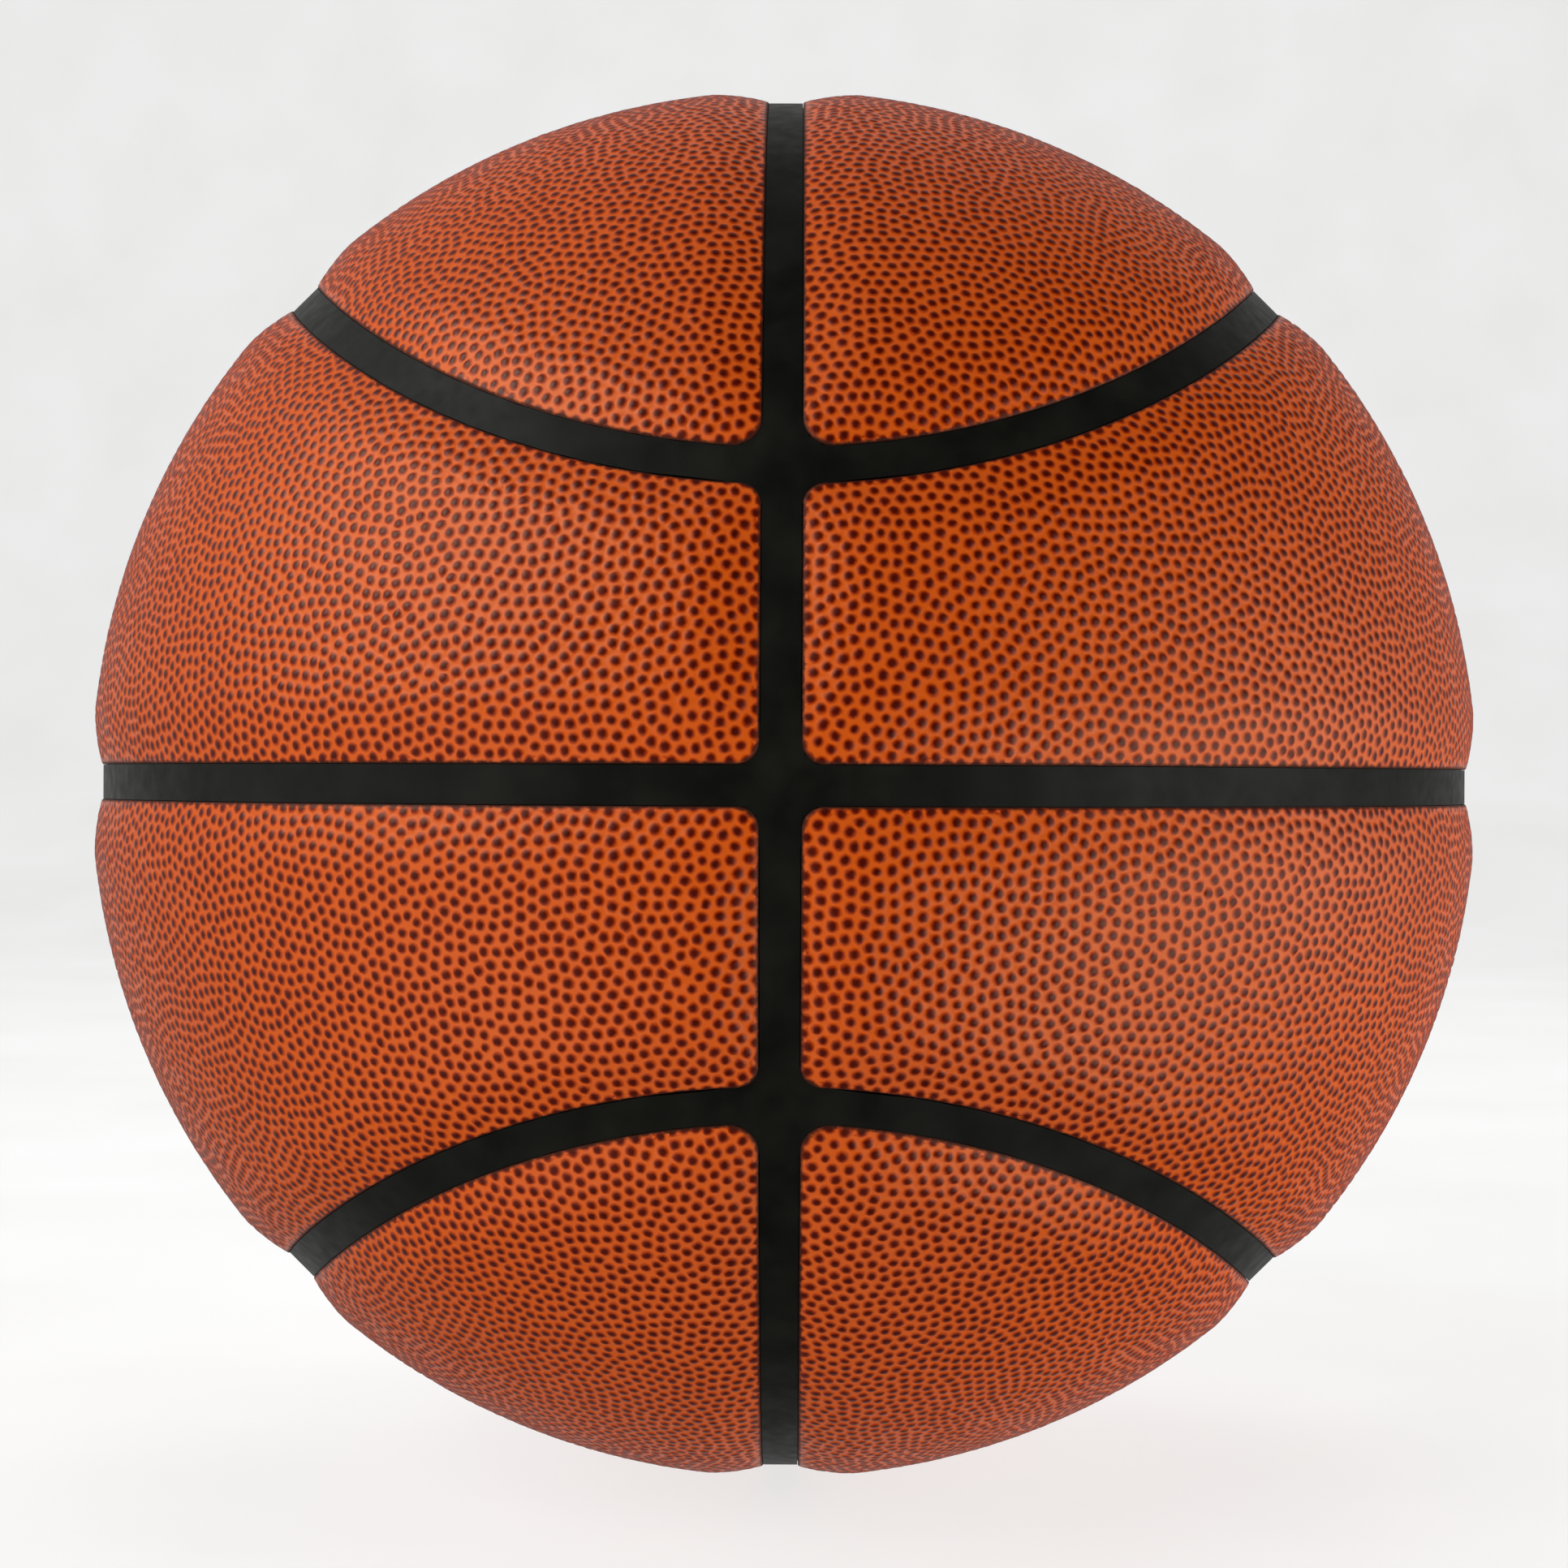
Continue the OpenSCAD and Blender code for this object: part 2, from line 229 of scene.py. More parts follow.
def edge_line(shape, gap, spacing):
    """Directions at even steps round the line that lies gap in from the panel's edge."""
    return outline(shape, CHANNEL_W / 2 + gap, CORNER_R[shape] + CORNER_GROWTH * gap, spacing)


def chart(shape, d):
    """Stereographic map about the panel's middle, in which the nearest neighbours stay the same."""
    root = middle(shape)
    up = LATITUDE_AXIS[shape] - (LATITUDE_AXIS[shape] @ root) * root
    up /= np.linalg.norm(up)
    side = np.cross(up, root)
    return 2 * BALL_R * np.stack([d @ side, d @ up], 1) / (1 + d @ root)[:, None]


def triangulated(flat, edges=()):
    """Triangles between points of the chart. Each edge, two numbers of points, is kept."""
    pairs = [(int(a), int(b)) for a, b in edges]
    places = [Vector(p) for p in flat.tolist()]
    verts, _, faces, *_ = delaunay_2d_cdt(places, pairs, [], 0, SAME_POINT)
    if len(verts) != len(flat):
        raise ValueError("points or edges of a panel meet")
    return np.array(faces)


def round_loops(loops):
    """The edges of closed loops of point numbers."""
    return np.vstack([np.stack([loop, np.roll(loop, -1)], 1) for loop in loops])


def summed(numbers, values, count):
    return np.stack([np.bincount(numbers, values[:, k], count) for k in range(values.shape[1])], 1)


def spiral(area):
    """Directions spread evenly over the ball, one to each area of that many square millimetres."""
    count = round(4 * math.pi * BALL_R**2 / area)
    level = 1 - (2 * np.arange(count) + 1) / count
    turn = np.arange(count) * math.pi * (3 - math.sqrt(5))
    level_r = np.sqrt(1 - level**2)
    return np.column_stack([np.cos(turn) * level_r, np.sin(turn) * level_r, level])


def relaxed(shape, rng):
    """Directions of a panel's pebbles: the points of a spiral over the ball, turned and shaken at
    random, and moved to the middles of their own ground, round by round. Then those of the fence
    round them, which stays still."""
    pitch = math.sqrt(PEBBLE_AREA * 2 / math.sqrt(3))
    d = spiral(PEBBLE_AREA) @ np.linalg.qr(rng.normal(size=(3, 3)))[0]
    d = unit(d + rng.normal(0, START_SHAKE * pitch / BALL_R, d.shape))
    d = d[inside(shape, d, CHANNEL_W / 2 - SPREAD_MARGIN, CORNER_R[shape]) > 0]
    fence = outline(shape, CHANNEL_W / 2 - SPREAD_MARGIN - pitch / 2, CORNER_R[shape], pitch)
    count = len(d)
    for _ in range(RELAX_ROUNDS):
        p = np.vstack([d, fence])
        faces = triangulated(chart(shape, p))
        p = p * BALL_R
        a, b, c = (p[faces[:, k]] for k in range(3))
        ab, ac = b - a, c - a
        normal = np.cross(ab, ac)
        square = (normal * normal).sum(1, keepdims=True)
        centre = a + (
            (ac * ac).sum(1, keepdims=True) * np.cross(normal, ab)
            + (ab * ab).sum(1, keepdims=True) * np.cross(ac, normal)
        ) / (2 * square)
        # A point's ground is shared out over its triangles, from the sides' middles to the centre
        normal = normal / np.sqrt(square)
        numbers, areas, moments = [], [], []
        for k in range(3):
            corner, ahead, behind = (p[faces[:, (k + j) % 3]] for j in range(3))
            for start, end in (((corner + ahead) / 2, centre), (centre, (corner + behind) / 2)):
                area = (np.cross(start - corner, end - corner) * normal).sum(1, keepdims=True) / 2
                numbers.append(faces[:, k])
                areas.append(area)
                moments.append(area * ((corner + start + end) / 3 - corner))
        numbers = np.concatenate(numbers)
        area = summed(numbers, np.vstack(areas), len(p))[:count]
        moment = summed(numbers, np.vstack(moments), len(p))[:count]
        step = RELAX_STEP * moment / np.maximum(area, pitch / 2)
        length = np.linalg.norm(step, axis=1, keepdims=True)
        d = unit(p[:count] + step * np.minimum(1, pitch / 2 / np.maximum(length, TINY)))
    return d, fence


def pebbles(shape, rng):
    """A panel's pebbles. For each: its centre, two axes that measure its marks, and its shade. For
    each point, first the centres, then the rings at the tops' edges and the bases: its place, its
    pebble and its depth. And the numbers of each base's points."""
    d, fence = relaxed(shape, rng)
    count = len(d)
    p = np.vstack([d, fence]) * BALL_R
    faces = triangulated(chart(shape, p / BALL_R))
    east = unit(np.cross(np.tile(Y, (count, 1)), d))
    north = np.cross(d, east)
    size = np.clip(rng.normal(1, SIZE_SPREAD, count), 1 - SIZE_LIMIT, 1 + SIZE_LIMIT)
    aspect = np.sqrt(np.minimum(1 + np.abs(rng.normal(0, ASPECT_SPREAD, count)), ASPECT_LIMIT))
    lean = rng.uniform(0, math.pi, count)
    start = rng.uniform(0, math.tau, count)
    height = rng.normal(0, HEIGHT_SPREAD, count)
    shade = rng.uniform(0, 1, count)

    def ring(turn):
        """Unit offsets of each pebble's ring of points, and the reach of its ellipse at each."""
        angle = start[:, None] + math.tau * (np.arange(PEBBLE_SIDES) + turn) / PEBBLE_SIDES
        offset = (
            np.cos(angle)[..., None] * east[:, None] + np.sin(angle)[..., None] * north[:, None]
        )
        off_axis = angle - lean[:, None]
        along, beside = np.cos(off_axis) / aspect[:, None], np.sin(off_axis) * aspect[:, None]
        return offset, 1 / np.hypot(along, beside) * size[:, None]

    pairs = np.vstack([faces[:, [0, 1]], faces[:, [1, 2]], faces[:, [2, 0]]])
    pairs = pairs[pairs[:, 0] < count]
    toward = p[pairs[:, 1]] - p[pairs[:, 0]]
    apart = np.linalg.norm(toward, axis=1)

    def room(offset):
        """How far each point may go from its centre before it reaches a groove."""
        facing = (offset[pairs[:, 0]] * (toward / apart[:, None])[:, None]).sum(2)
        reach = (apart / 2 - PEBBLE_GROOVE)[:, None] / np.maximum(facing, LEAST_FACING)
        limit = np.full((count, PEBBLE_SIDES), np.inf)
        np.minimum.at(limit, pairs[:, 0], reach)
        return limit

    top_offset, top_reach = ring(0)
    base_offset, base_reach = ring(0.5)
    top = np.minimum(PEBBLE_TOP_R * top_reach, TOP_SHARE * room(top_offset))
    base = np.minimum(PEBBLE_BASE_R * base_reach, room(base_offset))
    # A crowded pebble has a smaller dark top
    dark_r = PEBBLE_DARK_R * size * (base / (PEBBLE_BASE_R * base_reach)).mean(1)
    lean_x, lean_y = np.cos(lean)[:, None], np.sin(lean)[:, None]
    numbers = np.arange(count)
    centres = d * BALL_R
    tops = centres[:, None] + top[..., None] * top_offset
    bases = centres[:, None] + base[..., None] * base_offset
    return {
        "centre": centres,
        "axes": (
            (lean_x * east + lean_y * north) / (aspect * dark_r)[:, None],
            (lean_x * north - lean_y * east) * (aspect / dark_r)[:, None],
        ),
        "shade": shade,
        "points": np.vstack([centres, tops.reshape(-1, 3), bases.reshape(-1, 3)]),
        "owner": np.concatenate([numbers] + [np.repeat(numbers, PEBBLE_SIDES)] * 2),
        "base": np.arange(count * PEBBLE_SIDES).reshape(count, -1) + count * (1 + PEBBLE_SIDES),
        "depth": np.concatenate([
            PEBBLE_SUNK - height,
            np.repeat(PEBBLE_CROWN + PEBBLE_SUNK - height, PEBBLE_SIDES),
            np.full(count * PEBBLE_SIDES, PEBBLE_H + PEBBLE_SUNK),
        ]),
    }


def rise(x, low, high):
    """Smooth step from 0 at low to 1 at high."""
    t = np.clip((x - low) / (high - low), 0, 1)
    return t * t * (3 - 2 * t)


VALVE_AXIS = np.array([
    math.cos(VALVE_ELEVATION) * math.sin(VALVE_AZIMUTH),
    math.cos(VALVE_ELEVATION) * math.cos(VALVE_AZIMUTH),
    math.sin(VALVE_ELEVATION),
])


def hole_distance(d):
    """Distance along the ball out from the rim of the valve's hole."""
    return BALL_R * np.arccos(np.clip(d @ VALVE_AXIS, -1, 1)) - VALVE_HOLE_R


def hole_ring(distance, spacing):
    """Directions round the valve's hole, at a distance out from its rim."""
    r = VALVE_HOLE_R + distance
    count = round(math.tau * r / spacing)
    side = unit(np.cross(VALVE_AXIS, Z))
    up = np.cross(side, VALVE_AXIS)
    turn = np.arange(count)[:, None] * math.tau / count
    around = np.cos(turn) * side + np.sin(turn) * up
    return math.cos(r / BALL_R) * VALVE_AXIS + math.sin(r / BALL_R) * around


def cut_out(shape, d, edges, pierced, gap=0, hole_gap=0):
    """Triangles between the directions d that lie gap in from the panel's edge, and hole_gap out
    from its hole if it has one."""
    faces = triangulated(chart(shape, d), edges)
    middles = unit(d[faces].sum(1))
    keep = within(shape, middles, gap) > 0
    if pierced:
        keep &= hole_distance(middles) > hole_gap
    return faces[keep]


def marks(peb, d, faces, owner, least):
    """For each corner of a face, its place across its pebble and the pebble's shade.

    A face belongs to a pebble if all its points on pebbles are on that one, or to the nearest if
    it has none. One between pebbles has each point's distance from its own pebble's middle."""
    owners = owner[faces]
    bare = owners.max(1) < 0
    middles = BALL_R * unit(d[faces[bare]].sum(1))
    owners[bare] = (middles @ peb["centre"].T).argmax(1)[:, None]
    high = owners.max(1)
    low = np.where(owners < 0, high[:, None], owners).min(1)
    owned = (low == high)[:, None]
    pebble = np.where(owned, high[:, None], np.maximum(owners, 0))
    offset = BALL_R * d[faces] - peb["centre"][pebble]
    across, up = ((offset * axis[pebble]).sum(2) for axis in peb["axes"])
    apart = np.hypot(across, up)
    stretch = np.maximum(least[faces] / np.maximum(apart, TINY), 1)
    apart = np.where(owners < 0, OFF_PEBBLE, apart * stretch)
    first = np.where(owned, across * stretch, apart)
    second = np.where(owned, up * stretch, 0)
    return np.stack([first, second, peb["shade"][pebble]], 2)


def panel_surface(shape, rng, pierced):
    """The pebbled outer face of a panel: its points and faces, the mark of each corner, each
    point's distance from the edge, and the loops of points round the panel and its hole."""
    peb = pebbles(shape, rng)
    d = unit(peb["points"])
    keep = within(shape, d, 0) > PEBBLE_CLEAR
    if pierced:
        keep &= hole_distance(d) > PEBBLE_CLEAR
    lines, drops, loops, count = [], [], [], 0
    rims = [lambda gap: edge_line(shape, gap, LIP_STEP)]
    if pierced:
        rims.append(lambda gap: hole_ring(gap, LIP_STEP))
    for rim in rims:
        for gap, drop in LIP_LINES:
            line = rim(gap)
            if gap == 0:
                loops.append(np.arange(count, count + len(line)))
            lines.append(line)
            drops.append(np.full(len(line), drop))
            count += len(line)
    d = np.vstack(lines + [d[keep]])
    owner = np.concatenate([np.full(count, -1), peb["owner"][keep]])
    depth = np.concatenate([np.full(count, PEBBLE_H * LIP_LEVEL), peb["depth"][keep]])
    drop = np.concatenate(drops + [np.zeros(keep.sum())])
    # Each base's edges are kept, so that no face joins two pebbles above the groove between them
    numbers = np.where(keep, count - 1 + np.cumsum(keep), -1)[peb["base"]]
    least = np.zeros(len(d))
    least[numbers[numbers >= 0]] = BASE_MARK
    edges = np.stack([numbers, np.roll(numbers, -1, 1)], 2).reshape(-1, 2)
    edges = np.vstack([round_loops(loops), edges[edges.min(1) >= 0]])
    faces = cut_out(shape, d, edges, pierced)

    edge = edge_distance(shape, d)
    gap = np.minimum(edge, hole_distance(d)) if pierced else edge
    gap[:count] = np.concatenate([
        np.full(len(line), LIP_LINES[k % len(LIP_LINES)][0]) for k, line in enumerate(lines)
    ])
    full = rise(gap, *PEBBLE_RISE)
    depth = PEBBLE_H * LIP_LEVEL * (1 - full) + depth * full + drop
    radius = BALL_R - ROLL_DROP * (1 - edge / ROLL_W) ** ROLL_POWER - depth
    return d * radius[:, None], faces, marks(peb, d, faces, owner, least), gap, loops


def panel_underside(shape, points, loops, pierced):
    """The inner face of a panel, hollowed for its pad, and walls from the outer face's loops."""
    floor_r = BALL_R - PANEL_T - PAD_T
    start = len(points)
    parts, numbers = [], []
    for loop in loops:
        numbers.append(np.arange(start, start + len(loop)))
        parts.append(unit(points[loop]))
        start += len(loop)
    walls = []
    for loop, low in zip(loops, numbers):
        ahead, low_ahead = np.roll(loop, -1), np.roll(low, -1)
        walls += [np.stack([ahead, loop, low], 1), np.stack([ahead, low, low_ahead], 1)]
    foot = PAD_INSET
    crest = PAD_INSET + PAD_SLOPE_W
    for gap in (foot / 2, foot, crest):
        parts.append(edge_line(shape, gap, foot / 2))
    count = round(4 * math.pi * BALL_R**2 / crest**2 * UNDERSIDE_DRAWS)
    spread = unit(np.random.default_rng(UNDERSIDE_SEED).normal(size=(count, 3)))
    inset, r = CHANNEL_W / 2 + crest + foot / 2, CORNER_R[shape] + CORNER_GROWTH * crest
    spread = spread[inside(shape, spread, inset, r) > 0]
    if pierced:
        spread = spread[hole_distance(spread) > foot / 2]
        clear = foot / 2 + UNDERSIDE_CLEAR
        lines = [line[hole_distance(line) > clear] for line in parts[len(loops):]]
        parts = parts[: len(loops)] + lines + [hole_ring(foot / 2, foot / 2)]
    d = np.vstack(parts + [spread])
    total = sum(len(loop) for loop in loops)
    local = [n - len(points) for n in numbers]
    faces = cut_out(shape, d, round_loops(local), pierced)
    edge = edge_distance(shape, d)
    edge[:total] = 0
    radius = floor_r + PAD_T * rise(edge, foot, crest)
    return d * radius[:, None], np.vstack(walls + [faces[:, ::-1] + len(points)])


def pad_surface(shape, pierced, rng):
    """A sponge pad as a closed solid: its points and faces."""
    gaps = np.linspace(PAD_INSET + PAD_BLUNT, PAD_INSET + PAD_SLOPE_W, PAD_LINES)
    lines = [edge_line(shape, gap, PAD_STEP) for gap in gaps]
    spread = spiral(PAD_STEP**2)
    spread = spread[within(shape, spread, gaps[-1] + PAD_STEP / 2) > 0]
    loops = [np.arange(len(lines[0]))]
    if pierced:
        clear = PAD_HOLE_GAP + PAD_STEP / 2
        spread = spread[hole_distance(spread) > clear]
        lines = lines[:1] + [line[hole_distance(line) > clear] for line in lines[1:]]
        ring = hole_ring(PAD_HOLE_GAP, PAD_STEP / 2)
        loops.append(np.arange(len(ring)) + len(lines[0]))
        lines.insert(1, ring)
    d = np.vstack(lines + [spread])
    faces = cut_out(shape, d, round_loops(loops), pierced, gaps[0], PAD_HOLE_GAP)
    edge = edge_distance(shape, d)
    thick = PAD_T * rise(edge, PAD_INSET, PAD_INSET + PAD_SLOPE_W) - PAD_CLEAR
    thick *= rng.uniform(1 - PAD_UNEVEN, 1, len(d))
    under_r = BALL_R - PANEL_T - PAD_T + PAD_CLEAR / 2
    count = len(d)
    walls = []
    for start, end in (round_loops([loop]).T for loop in loops):
        low = start + count
        walls += [np.stack([end, start, low], 1), np.stack([end, low, end + count], 1)]
    points = np.vstack([d * (under_r + thick)[:, None], d * under_r])
    return points, np.vstack([faces, faces[:, ::-1] + count] + walls)


def mesh_of(name, points, faces, corner_mark=None, point_value=None):
    """A smooth triangle mesh, with a vector for each corner and a number for each point, if any."""
    made = bpy.data.meshes.new(name)
    made.vertices.add(len(points))
    made.vertices.foreach_set("co", (points * MM).astype(np.float32).ravel())
    made.loops.add(faces.size)
    made.loops.foreach_set("vertex_index", faces.astype(np.int32).ravel())
    made.polygons.add(len(faces))
    made.polygons.foreach_set("loop_start", np.arange(0, faces.size, 3, dtype=np.int32))
    made.polygons.foreach_set("use_smooth", np.ones(len(faces), bool))
    made.update(calc_edges=True)
    if corner_mark is not None:
        layer = made.attributes.new("pebble", "FLOAT_VECTOR", "CORNER")
        layer.data.foreach_set("vector", corner_mark.astype(np.float32).ravel())
    if point_value is not None:
        layer = made.attributes.new("edge", "FLOAT", "POINT")
        layer.data.foreach_set("value", point_value.astype(np.float32))
    if made.validate(verbose=False):
        raise ValueError(f"{name} has broken faces")
    return made


def linked(name, data):
    """A new object in the scene."""
    made = bpy.data.objects.new(name, data)
    bpy.context.scene.collection.objects.link(made)
    return made


def mirrored(top, right, points, *corners):
    """Points of the right upper quarter, and arrays of its faces' corners, for another quarter."""
    if top != right:
        corners = [values[:, ::-1] for values in corners]
    return points * (1 if right else -1, 1, 1 if top else -1), *corners


def build_panel(name, shape, top, right, pierced, seed):
    """One cover panel, built in the right upper quarter and mirrored to its own."""
    points, faces, mark, gap, loops = panel_surface(shape, np.random.default_rng(seed), pierced)
    under, more = panel_underside(shape, points, loops, pierced)
    mark = np.concatenate([mark, np.tile((OFF_PEBBLE, 0, MIDDLE_SHADE), (len(more), 3, 1))])
    points, faces, mark = mirrored(
        top, right, np.vstack([points, under]), np.vstack([faces, more]), mark
    )
    gap = np.concatenate([gap, np.zeros(len(under))])
    return linked(name, mesh_of(name, points, faces, mark, gap))


def build_pad(name, shape, top, right, pierced, seed):
    """One sponge pad, built in the right upper quarter and mirrored to its own."""
    points, faces = pad_surface(shape, pierced, np.random.default_rng(seed))
    return linked(name, mesh_of(name, *mirrored(top, right, points, faces)))


# Materials: colours are sRGB, each part 0 to 255, and sizes are in millimetres

# The cover's colours: the web between the dark tops, its grain, the painted highlight along its
# grooves, the pebbles' flanks, their tops and the tops' grain, and the painted shade along a
# panel's edge
WEB = [(181, 67, 5), (187, 72, 8)]
WEB_GRAIN = (166, 53, 5)
GROOVE_HIGHLIGHT = (205, 87, 15)
FLANK = (117, 25, 1)
TOP = [(58, 5, 0), (72, 7, 0)]
TOP_GRAIN = (92, 20, 3)
PANEL_EDGE_SHADE = (48, 14, 6)

# The marks between which the dark of a top fades out and the painted highlight in the grooves
# fades in, the share of the dark at which it is a flank's, the distances between which the painted
# shade along the panel's edge fades out, and how far noise shifts the first and the last
DARK_FADE = (0.38, 1.62)
GROOVE_HIGHLIGHT_FADE = (1.45, 1.7)
FLANK_DARK = 0.72
EDGE_SHADE_FADE = (0.04, 0.55)
RAGGED = 0.12

# The cover's grain: its size and depth, and its share in the colour. The share of the painted
# highlight in the grooves.
# The roughness of the web and the tops, and what a panel's edge adds.
COVER_GRAIN = 0.16
COVER_GRAIN_DEPTH = 0.012
GRAIN_SHARE = 0.3
GROOVE_HIGHLIGHT_SHARE = 0.7
WEB_ROUGHNESS = 0.38
TOP_ROUGHNESS = 0.36
EDGE_ROUGHER = 0.3

# Most noise lies between these
NOISE_RANGE = (0.3, 0.7)

# For each rubber node: the material's name, colour, worn colour and roughness, and its grain's size
# and depth
RUBBERS = {
    "carcass": ("channel_rubber", (9, 9, 7), (20, 20, 16), 0.5, 0.3, 0.01),
    "bladder": ("bladder_rubber", (24, 23, 22), (38, 36, 34), 0.5, 0.5, 0.02),
    "valve_body": ("valve_rubber", (26, 25, 24), (44, 42, 40), 0.4, 0.25, 0.01),
    "valve_core": ("core_rubber", (44, 42, 39), (66, 63, 58), 0.45, 0.2, 0.01),
}

# The sponge's cells, and the wound thread: a strand's width, the turns of its three sets of
# strands, and the width of a band of a wave texture whose scale is 1
CELL_SIZE = 0.6
STRAND_W = 0.35
STRAND_TURNS = [(0.3, 0.9, 0.2), (1.4, -0.5, 0.8), (-0.8, 0.4, 2.1)]
BAND_W = 0.32


def linear(rgb):
    """An sRGB colour as a linear RGBA colour."""
    parts = [c / 255 for c in rgb]
    return (*[c / 12.92 if c <= 0.04045 else ((c + 0.055) / 1.055) ** 2.4 for c in parts], 1)


class Tree:
    """A node tree. Its calls add a node and return its first output, or the one that out names."""

    def __init__(self, tree):
        self.tree = tree

    def add(self, kind, inputs, out=0, **settings):
        made = self.tree.nodes.new(kind)
        for key, value in settings.items():
            setattr(made, key, value)
        for key, value in inputs.items():
            self.set(made.inputs[key], value)
        return made.outputs[out]

    def set(self, socket, value):
        if isinstance(value, bpy.types.NodeSocket):
            self.tree.links.new(value, socket)
        else:
            socket.default_value = value

    def maths(self, operation, a, b=0, c=0):
        return self.add("ShaderNodeMath", {0: a, 1: b, 2: c}, operation=operation)

    def parts(self, vector):
        """The three numbers of a vector."""
        made = self.tree.nodes.new("ShaderNodeSeparateXYZ")
        self.set(made.inputs[0], vector)
        return made.outputs


class Shader(Tree):
    """A material's node tree, with the values of its shader that are the same all over it."""

    def __init__(self, name, **shader_values):
        self.material = bpy.data.materials.new(name)
        self.material.use_nodes = True
        super().__init__(self.material.node_tree)
        self.shader = self.tree.nodes["Principled BSDF"]
        for key, value in shader_values.items():
            self.shader.inputs[key.replace("_", " ")].default_value = value

    def place(self):
        return self.add("ShaderNodeTexCoord", {}, "Object")

    def noise(self, size, detail=2, roughness=0.5):
        """Noise whose grains are about size millimetres across."""
        return self.add("ShaderNodeTexNoise", {
            "Vector": self.place(), "Scale": 1 / (size * MM), "Detail": detail,
            "Roughness": roughness,
        })

    def ramp(self, value, low, high, to_low=0, to_high=1, smooth=False):
        return self.add("ShaderNodeMapRange", {
            "Value": value, "From Min": low, "From Max": high, "To Min": to_low, "To Max": to_high,
        }, interpolation_type="SMOOTHSTEP" if smooth else "LINEAR")

    def shift(self, size, most, detail=2, about=0):
        """Noise between most below and most above a number."""
        return self.ramp(self.noise(size, detail), *NOISE_RANGE, about - most, about + most)

    def mix(self, share, a, b):
        """A mix of two colours, each an output or an sRGB colour."""
        a, b = (linear(c) if isinstance(c, tuple) else c for c in (a, b))
        return self.add("ShaderNodeMix", {0: share, 6: a, 7: b}, 2, data_type="RGBA")

    def bump(self, height, distance):
        return self.add("ShaderNodeBump", {"Height": height, "Distance": distance * MM})

    def finish(self, **sockets):
        for key, value in sockets.items():
            self.set(self.shader.inputs[key.replace("_", " ")], value)
        return self.material


def cover_leather():
    """The cover: dark tops on an orange web, a painted highlight along its grooves, a fine grain, and
    painted shade as a dark line along a panel's edge.
    """
    s = Shader("cover_leather", IOR=1.6, Specular_Tint=(1, 0.82, 0.6, 1))
    mark = s.add("ShaderNodeAttribute", {}, "Vector", attribute_name="pebble")
    edge = s.add("ShaderNodeAttribute", {}, "Fac", attribute_name="edge")
    across, up, shade = s.parts(mark)
    square = s.maths("ADD", s.maths("MULTIPLY", across, across), s.maths("MULTIPLY", up, up))
    distance = s.maths("SQRT", square)
    ragged = s.maths("ADD", distance, s.shift(0.45, RAGGED))
    dark = s.ramp(ragged, *DARK_FADE, 1, 0, smooth=True)
    broad = s.noise(26, 3)
    grain = s.noise(COVER_GRAIN, 3, 0.6)
    web = s.mix(s.ramp(broad, 0.35, 0.65), *WEB)
    web = s.mix(s.ramp(grain, *NOISE_RANGE, 0, GRAIN_SHARE), web, WEB_GRAIN)
    # Painted highlight: a lighter line along the grooves between the pebbles
    web = s.mix(s.ramp(distance, *GROOVE_HIGHLIGHT_FADE, 0, GROOVE_HIGHLIGHT_SHARE, smooth=True), web, GROOVE_HIGHLIGHT)
    top = s.mix(shade, *TOP)
    top = s.mix(s.ramp(grain, 0.35, 0.75, 0, GRAIN_SHARE), top, TOP_GRAIN)
    # From the web to the dark top by way of the flank
    colour = s.mix(s.ramp(dark, 0, FLANK_DARK), web, FLANK)
    colour = s.mix(s.ramp(dark, FLANK_DARK, 1), colour, top)
    # Painted shade: a dark line along the panel's edge, where it rolls down into the channel
    from_edge = s.maths("ADD", edge, s.shift(0.7, RAGGED))
    line = s.ramp(from_edge, *EDGE_SHADE_FADE, 1, 0, smooth=True)
    colour = s.mix(line, colour, PANEL_EDGE_SHADE)
    roughness = s.ramp(dark, 0, 1, WEB_ROUGHNESS, TOP_ROUGHNESS)
    roughness = s.maths("ADD", roughness, s.shift(3.5, 0.05, 3))
    roughness = s.maths("ADD", roughness, s.ramp(line, 0, 1, 0, EDGE_ROUGHER))
    normal = s.bump(grain, COVER_GRAIN_DEPTH)
    return s.finish(Base_Color=colour, Roughness=roughness, Normal=normal)


def rubber(name, colour, worn, roughness, grain_size, grain_depth):
    """Moulded rubber: faint mottling, a fine grain and slow changes of gloss."""
    s = Shader(name, IOR=1.52, Specular_IOR_Level=0.3)
    grain = s.noise(grain_size, 3, 0.6)
    tint = s.mix(s.ramp(s.noise(7, 4), 0.35, 0.7), colour, worn)
    tint = s.mix(s.ramp(grain, 0.45, 0.75, 0, 0.25), tint, worn)
    rough = s.shift(2.5, 0.06, 3, roughness)
    return s.finish(Base_Color=tint, Roughness=rough, Normal=s.bump(grain, grain_depth))


def sponge():
    """Open-celled foam, with painted shade in its pores."""
    s = Shader("sponge_foam")
    cells = s.add("ShaderNodeTexVoronoi", {
        "Vector": s.place(), "Scale": 1 / (CELL_SIZE * MM),
    }, "Distance")
    # Painted shade: darker in the pores, where the cells' bump is lowest
    tint = s.mix(s.ramp(cells, 0.05, 0.5), (150, 132, 100), (206, 190, 156))
    tint = s.mix(s.ramp(s.noise(9, 3), 0.35, 0.7, 0, 0.4), tint, (188, 166, 124))
    rough = s.ramp(cells, 0, 0.6, 0.96, 0.85)
    return s.finish(Base_Color=tint, Roughness=rough, Normal=s.bump(cells, 0.12))


